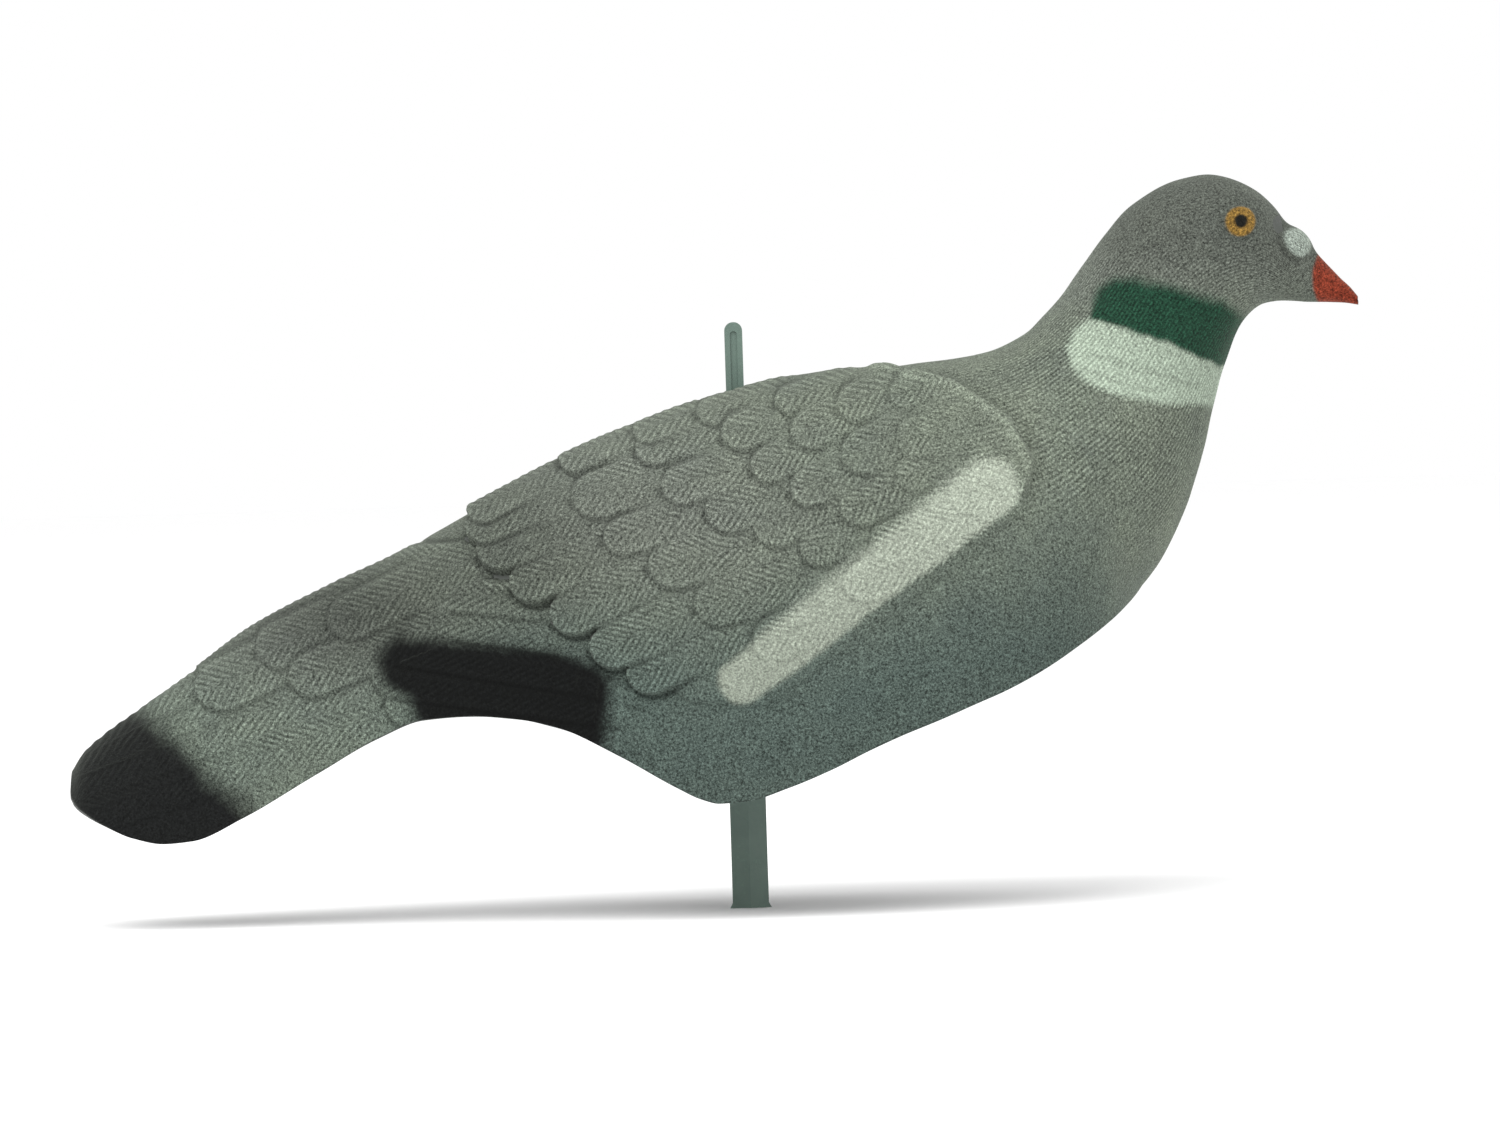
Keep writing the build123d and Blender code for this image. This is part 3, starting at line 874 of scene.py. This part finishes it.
# ------------------------------------------------------------------ the inside of the shell
def make_moulding():
    """The moulded wall under the coat: its inside and its rolled lower edge, hollow up to the head."""
    rows, columns = 260, 70
    outer = surface_grid(rows, columns, -0.25)[0]
    inner = surface_grid(rows, columns, -WALL)[0]
    rows = int(np.argmax(outer[:, columns, 0] > HOLLOW_END))
    outer, inner = outer[:rows], inner[:rows]
    inner = inner + 0.12 * lattice_noise(*np.moveaxis(inner, -1, 0), 7.0, 21)[..., None]
    wide = 2 * columns + 1
    points = np.concatenate([outer.reshape(-1, 3), inner.reshape(-1, 3)])
    outside = grid_faces(rows, wide)
    inside = outside[:, ::-1] + rows * wide
    number = np.arange(rows * wide).reshape(rows, wide)
    loop = np.concatenate([number[0, :], number[1:, -1], number[-1, -2::-1], number[-2:0:-1, 0]])
    following = np.roll(loop, -1)
    edge = np.stack([loop, loop + rows * wide, following + rows * wide, following], axis=-1)
    faces = np.concatenate([outside, inside, edge])
    faces = cut_slots(points, faces)
    return mesh_from("shell_moulding", points, faces)


# ------------------------------------------------------------------ build
coat = make_coat()
use_material(coat, flock_material())
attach(coat, "shell")
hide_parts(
    "coat_grey", "neck_band_green", "neck_patch_white", "wing_bars_white", "primaries_black",
    "tail_band_black", "eye_rings_yellow", "pupils_black", "cere_white", "beak",
)

moulding = make_moulding()
use_material(moulding, moulded_material("shell_plastic", srgb(52, 56, 52), srgb(66, 70, 65), 0.6))
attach(moulding, "shell")
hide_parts("body_shell")

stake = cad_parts["stake"]
use_material(stake, moulded_material("stake_plastic", srgb(76, 95, 86), srgb(88, 107, 97), 0.5))

# ------------------------------------------------------------------ stage, light and camera
FLOOR_REACH = 6.0
floor_corners = [(x * FLOOR_REACH, y * FLOOR_REACH, 0) for x, y in ((-1, -1), (1, -1), (1, 1), (-1, 1))]
floor_mesh = bpy.data.meshes.new("floor")
floor_mesh.from_pydata(floor_corners, [], [(0, 1, 2, 3)])
floor = bpy.data.objects.new("floor", floor_mesh)
bpy.context.scene.collection.objects.link(floor)
use_material(floor, stage_material())

world = bpy.data.worlds.new("studio")
bpy.context.scene.world = world
world.use_nodes = True
background = world.node_tree.nodes["Background"]
background.inputs["Color"].default_value = (1, 1, 1, 1)
background.inputs["Strength"].default_value = 1.0


def area_light(name, place, aim, size, power):
    """A soft square lamp that faces a point."""
    data = bpy.data.lights.new(name, "AREA")
    data.size = size
    data.energy = power
    lamp = bpy.data.objects.new(name, data)
    lamp.location = place
    lamp.rotation_euler = (Vector(aim) - Vector(place)).to_track_quat("-Z", "Y").to_euler()
    bpy.context.scene.collection.objects.link(lamp)


LIT_POINT = (0, 0, 0.1)
area_light("key", (-0.5, -1.2, 1.7), LIT_POINT, size=1.8, power=38)
area_light("fill", (1.2, -1.4, 0.6), LIT_POINT, size=1.2, power=4)

view_centre = Vector((VIEW_X, 0.0, VIEW_Z)) * MM
towards_camera = Vector((0, -math.cos(VIEW_ELEVATION), math.sin(VIEW_ELEVATION)))
camera_data = bpy.data.cameras.new("camera")
camera_data.angle = 2 * math.atan(VIEW_WIDTH / 2 / VIEW_DISTANCE)
camera = bpy.data.objects.new("camera", camera_data)
bpy.context.scene.collection.objects.link(camera)
camera.location = view_centre + VIEW_DISTANCE * MM * towards_camera
look = (view_centre - camera.location).to_track_quat("-Z", "Y").to_matrix().to_4x4()
camera.matrix_world = Matrix.Translation(camera.location) @ look @ Matrix.Rotation(-VIEW_ROLL, 4, "Z")
bpy.context.scene.camera = camera
bpy.context.scene.view_settings.view_transform = "Standard"
